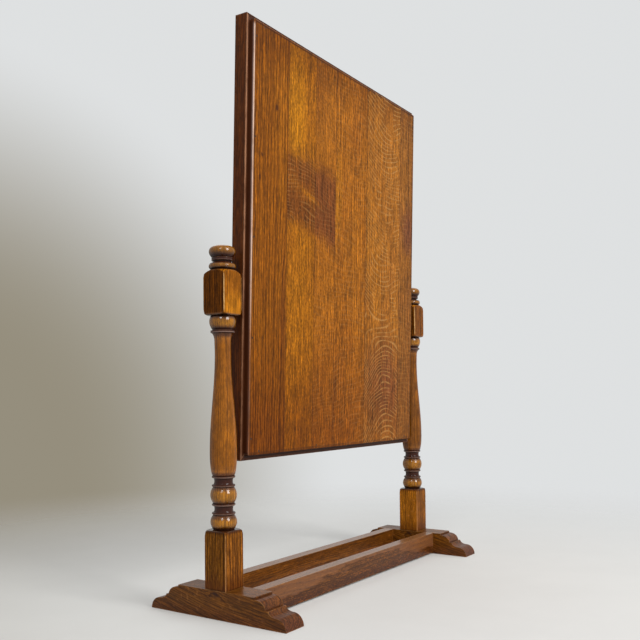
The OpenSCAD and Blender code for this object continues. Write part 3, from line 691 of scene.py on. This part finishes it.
def foot_marks(s, here, tone):
    """The lower part of a foot is purple with old dirt, and its moulded ends are darker."""
    x, y, z = s.split(here)
    on_side = s.fade(s.absolute(x), FOOT_HALF_W - 0.8, FOOT_HALF_W - 0.1)
    tone = s.tint(s.times(s.ease(s.absolute(y), 66, 69), on_side), tone, (0.78, 0.70, 1.2))
    return low_dirt(s, here, tone)


def stretcher_marks(s, here, tone, side):
    """The outer face is greyed by handling above a wavy line, and dark and figured below it."""
    x, y, z = s.split(here)
    flat = s.join(x, 0.0, z)
    outer = s.ease(s.times(y, side), 9.0, 9.4)
    height = s.wavy(z, -34.0, flat, (70, 1, 14), 12.0)
    height = s.plus(height, s.ease(s.absolute(s.plus(x, 20.0)), 40, 190, -9.0, 9.0))
    pale = s.times(outer, s.ease(height, -15, -9))
    tone = s.mix(s.times(pale, 0.45), tone, (0.235, 0.100, 0.045))
    figure = s.times(s.noise(flat, (26, 1, 7), 15.0, rough=0.65), 7.0)
    figure = s.off(s.math("FRACT", figure), 0.5)
    dark = s.times(s.minus(outer, pale), s.ease(figure, 0.1, 0.4, 0.85, 0.1))
    tone = s.mix(dark, tone, (0.050, 0.015, 0.003))
    tone = s.mix(s.ease(z, 18.4, 18.8, 0.0, 0.45), tone, (0.27, 0.135, 0.060))
    return low_dirt(s, here, tone)


def top_polish(s, here):
    """The top faces of the stretchers are rubbed to a polish and the sides are duller."""
    upward = s.split(s.add("NewGeometry").outputs["Normal"])[Z]
    return s.ease(upward, 0.7, 0.95, 0.12, 0.3)


FOOT = dict(late=(0.165, 0.056, 0.005), early=(0.050, 0.014, 0.0015), pore=(0.02, 0.006, 0.001),
            grain="Y", slope=0.24, pith=(70, 120), ring=4.4, wander=1.9, knots=((14.5, 1.4, 3.4),),
            thread=0.35, dash=2.0, dash_depth=0.3, dirt=0.6, wear=0.4, rough=0.38, gloss=0.14,
            coat=0.09, marks=foot_marks)
for name, side, seed in (("left_foot", -1, 4.5), ("right_foot", 1, 8.8)):
    dress(name, oak("foot_oak_" + name, centre=(side * POST_X, 0, LOW_Z), seed=seed, **FOOT))

STRETCHER = dict(late=(0.155, 0.048, 0.004), early=(0.055, 0.014, 0.0015), pore=(0.02, 0.006, 0.001),
                 grain="X", pith=(36, 40), ring=2.7, dash=2.0, dash_depth=0.28, dirt=0.5, wear=0.4,
                 rough=0.34, gloss=0.18, coat=top_polish)
for name, side, seed in (("front_stretcher", -1, 14.1), ("back_stretcher", 1, 17.3)):
    dress(name, oak("stretcher_oak_" + name, centre=(0, side * STRETCHER_Y, LOW_Z), seed=seed,
                    marks=partial(stretcher_marks, side=side), **STRETCHER))


# The glazing beads
PINE = dict(late=(0.50, 0.30, 0.125), early=(0.36, 0.19, 0.065), pore=(0.22, 0.11, 0.04),
            pith=(20, 30), ring=2.2, fleck=0.0, dirt=0.3, wear=0.3, wear_tone=(0.5, 0.34, 0.18),
            rough=0.6, coat=0.0)
for name, grain, seed in (("left_glazing_bead", "Z", 17), ("right_glazing_bead", "Z", 18),
                          ("top_glazing_bead", "X", 16), ("bottom_glazing_bead", "X", 19)):
    dress(name, oak("bead_pine_" + name, grain=grain, seed=seed, **PINE, **MIRROR))


# Metal, leather, glass and card
def metal(name, bright, tarnish, grime, rough, brush, seed, bump=0.03):
    """Hand-worn metal: tarnish in clouds, fine scratches, grime in the hollows."""
    s = Shader(name)
    here = s.place()
    cloud = s.clouds(here, (5, 5, 5), seed, 0.35, 0.68, detail=4.0)
    speck = s.clouds(here, (0.8, 0.8, 0.8), seed + 5, 0.60, 0.72, detail=2.0)
    scratch = s.noise(here, brush, seed + 9)
    tone = s.mix(s.times(cloud, 0.7), bright, tarnish)
    tone = s.shade(tone, s.line(scratch, 0.3, 0.85))
    low = s.fade(s.hollow(2.0), 0.3, 0.95)
    spoilt = s.math("MAXIMUM", s.times(low, 0.8), s.times(speck, 0.5))
    tone = s.mix(spoilt, tone, grime)
    matt = s.plus(s.line(scratch, 0.2, rough - 0.1), s.line(spoilt, 0.3, s.times(cloud, 0.1)))
    s.bump(s.minus(scratch, speck), bump, 0.6)
    return s.finish(Base_Color=tone, Roughness=matt, Metallic=s.line(spoilt, -0.5, 1.0))


def leather():
    """Creased leather, pressed dark at its edge."""
    s = Shader("leather")
    here = s.place()
    cell = s.add("TexVoronoi", s.vector("MULTIPLY", here, (1.4, 1.4, 1.4)), feature="DISTANCE_TO_EDGE")
    cell.inputs["Scale"].default_value = 1.0
    crease = s.ease(cell.outputs[0], 0.0, 0.12)
    cloud = s.noise(here, (6, 6, 6), 2.0)
    tone = s.mix(cloud, (0.10, 0.042, 0.016), (0.26, 0.12, 0.05))
    tone = s.shade(tone, s.line(crease, 0.4, 0.6))
    edge = s.fade(s.hollow(0.8, inside=True), 0.5, 0.95)
    tone = s.mix(s.times(edge, 0.5), tone, (0.04, 0.018, 0.01))
    s.bump(crease, 0.15, 0.7)
    return s.finish(Base_Color=tone, Roughness=s.line(cloud, 0.2, 0.5), Specular_IOR_Level=0.35)


def mirror_glass():
    """Old silvered plate, with a little foxing where damp has crept in from the edge."""
    s = Shader("mirror_glass")
    here = s.place(**MIRROR)
    x, y, v = s.split(here)
    creep = s.times(s.noise(here, (24, 24, 24), 3.0, 4.0), 46)
    damp = s.fade(s.minus(inward(s, x, v, GLASS_HALF_W, GLASS_ENDS), creep), -20, 4)
    fox = s.times(s.clouds(here, (2.6, 2.6, 2.6), 8.0, 0.55, 0.66, detail=4.0, rough=0.65), damp)
    dust = s.noise(here, (40, 40, 60), 5.0, 4.0)
    tone = s.mix(fox, (0.86, 0.885, 0.87), (0.17, 0.14, 0.10))
    tone = s.shade(tone, s.line(dust, 0.05, 0.96))
    # the foxing is behind the glass, so the gloss of the front stays and only the silver goes
    return s.finish(Base_Color=tone, Roughness=s.line(dust, 0.03, 0.005),
                    Metallic=s.line(fox, -0.95, 1.0))


def card():
    """Brown card, stained in clouds."""
    s = Shader("card")
    here = s.place()
    fibre = s.noise(here, (0.7, 0.7, 3.0), 1.0)
    stained = s.clouds(here, (60, 60, 60), 2.0, 0.35, 0.7, detail=4.0)
    tone = s.mix(stained, (0.36, 0.27, 0.17), (0.20, 0.135, 0.075))
    tone = s.shade(tone, s.line(fibre, 0.4, 0.8))
    s.bump(fibre, 0.08, 0.5)
    return s.finish(Base_Color=tone, Roughness=s.line(fibre, 0.1, 0.82), Specular_IOR_Level=0.25)


STEEL = dict(bright=(0.50, 0.49, 0.47), tarnish=(0.24, 0.22, 0.20), grime=(0.05, 0.03, 0.02))
BRASS = dict(bright=(0.62, 0.42, 0.17), tarnish=(0.30, 0.17, 0.06), grime=(0.05, 0.03, 0.012))
IRON = dict(bright=(0.09, 0.075, 0.065), tarnish=(0.07, 0.03, 0.014), grime=(0.02, 0.01, 0.006))
shared = {
    "brass": metal("brass", rough=0.34, brush=(0.4, 0.4, 5), seed=1.0, **BRASS),
    "steel": metal("steel", rough=0.40, brush=(0.3, 4, 4), seed=2.0, **STEEL),
    "nail_iron": metal("nail_iron", rough=0.60, brush=(0.5, 0.5, 0.5), seed=3.0, bump=0.08, **IRON),
    "leather": leather(), "mirror_glass": mirror_glass(), "card": card(),
}
for row in frame["record"]["subparts"]:
    if row["material_slot"] in shared:
        dress(row["node"], shared[row["material_slot"]])


# Camera, as solved from the photo
CAMERA_PLACE = (1.1378, 0.7316, 0.3051)        # metres
CAMERA_WAY = (-0.82579, -0.56344, 0.02454)
CAMERA_ROLL = -0.009                           # radians
SENSOR, LENS = 36, 45.184                      # millimetres
SHIFT = (0.01342, 0.08575)


def photo_camera():
    data = bpy.data.cameras.new("camera")
    data.sensor_width = SENSOR
    data.lens = LENS
    data.shift_x, data.shift_y = SHIFT
    data.clip_start, data.clip_end = 0.05, 60
    forward = Vector(CAMERA_WAY).normalized()
    right = forward.cross(Vector((0, 0, 1))).normalized()
    up = right.cross(forward)
    across = math.cos(CAMERA_ROLL) * right + math.sin(CAMERA_ROLL) * up
    upward = -math.sin(CAMERA_ROLL) * right + math.cos(CAMERA_ROLL) * up
    turn = Matrix((across, upward, -forward)).transposed()
    camera = bpy.data.objects.new("camera", data)
    camera.matrix_world = Matrix.Translation(CAMERA_PLACE) @ turn.to_4x4()
    bpy.context.scene.collection.objects.link(camera)
    bpy.context.scene.camera = camera


# Background, floor and light
SEEN = (0.735, 0.75, 0.755)        # the pale background, as the camera and gloss see it
BACKDROP_SHADOW = (0.30, 0.27, 0.205)          # a painted shadow of the mirror on the background: its dimmer, warmer side
DIM_WAY = (-0.47, -0.87, -0.10)    # where that side lies
DIM_EDGE = (0.870, 0.985)          # cosines to that way where it begins and is full
LIGHT_TONE = (0.985, 0.99, 1.0)
LIGHT_RISE = (-0.15, 1.0)          # heights between which the light grows
LOW_LIGHT, HIGH_LIGHT = 0.10, 0.85  # light from the horizon and from overhead
DARK_WAY = (0.45, -0.89, 0.0)      # where the studio gives least light
DARK_SHARE = 0.25                  # how much of the light is left there
FLOOR_HALF_W = 3.0                 # metres
FLOOR_FADE = (150, 1500)           # distances in millimetres over which the floor fades away
LAMP_TARGET = Vector((0, 0, 0.4))  # the lamps shine at this place, in metres
LAMPS = (
    dict(name="key", way=(-0.02, 0.76, 0.65), distance=3.4, size=(2.3, 2.0), power=9.5),
    dict(name="key_glint", way=(0.12, 0.86, 0.42), distance=3.4, size=(1.20, 1.45), power=80),
    dict(name="high_glint", way=(0.72, 0.26, 0.50), distance=3.0, size=(0.68, 0.75), power=20),
    dict(name="fill", way=(-0.62, -0.46, 0.75), distance=2.6, size=(1.8, 1.6), power=8),
)


def background():
    """A pale background that camera and gloss see, with a painted shadow on its dimmer side, and a soft
    light from above for all else.
    """
    world = bpy.data.worlds.new("world")
    bpy.context.scene.world = world
    world.use_nodes = True
    s = Nodes(world.node_tree)
    seen = s.tree.nodes["Background"]
    way = s.vector("NORMALIZE", s.add("TexCoord").outputs["Generated"])
    dim_way = tuple(Vector(DIM_WAY).normalized())
    # Painted shadow of the mirror: the background is darker and warmer on one side.
    shadow_share = s.ease(s.vector("DOT_PRODUCT", way, dim_way), *DIM_EDGE)
    s.put(seen.inputs["Color"], s.mix(shadow_share, SEEN, BACKDROP_SHADOW))
    rise = s.ease(s.split(way)[Z], *LIGHT_RISE, LOW_LIGHT, HIGH_LIGHT)
    away = s.ease(s.vector("DOT_PRODUCT", way, DARK_WAY), 0.0, 0.9, 1.0, DARK_SHARE)
    light = s.add("Background", LIGHT_TONE, s.times(rise, away))
    path = s.add("LightPath").outputs
    direct = s.math("MAXIMUM", path["Is Camera Ray"],
                    s.math("MAXIMUM", path["Is Glossy Ray"], path["Is Transmission Ray"]))
    blend = s.add("MixShader", direct, light.outputs[0], seen.outputs[0])
    s.put(s.tree.nodes["World Output"].inputs[0], blend.outputs[0])


def floor():
    """A matt floor that fades into the background."""
    mesh = bpy.data.meshes.new("floor")
    corners = [(x * FLOOR_HALF_W, y * FLOOR_HALF_W, 0) for x, y in ((-1, -1), (1, -1), (1, 1), (-1, 1))]
    mesh.from_pydata(corners, [], [(0, 1, 2, 3)])
    piece = bpy.data.objects.new("floor", mesh)
    bpy.context.scene.collection.objects.link(piece)
    s = Shader("floor")
    here = s.place()
    tone = s.mix(s.noise(here, (90, 90, 90), 1.0), (0.64, 0.635, 0.612), (0.68, 0.675, 0.652))
    s.finish(Base_Color=tone, Roughness=0.85, Specular_IOR_Level=0.2,
             Alpha=s.fade(s.vector("LENGTH", here), *FLOOR_FADE))
    mesh.materials.append(s.material)


def area_lamp(name, way, distance, size, power):
    data = bpy.data.lights.new(name, "AREA")
    data.shape = "RECTANGLE"
    data.size, data.size_y = size
    data.energy = power
    lamp = bpy.data.objects.new(name, data)
    way = Vector(way).normalized()
    lamp.location = LAMP_TARGET + way * distance
    lamp.rotation_mode = "QUATERNION"
    lamp.rotation_quaternion = way.to_track_quat("Z", "Y")
    bpy.context.scene.collection.objects.link(lamp)


photo_camera()
background()
floor()
for lamp in LAMPS:
    area_lamp(**lamp)

bpy.context.scene.view_settings.view_transform = "Standard"
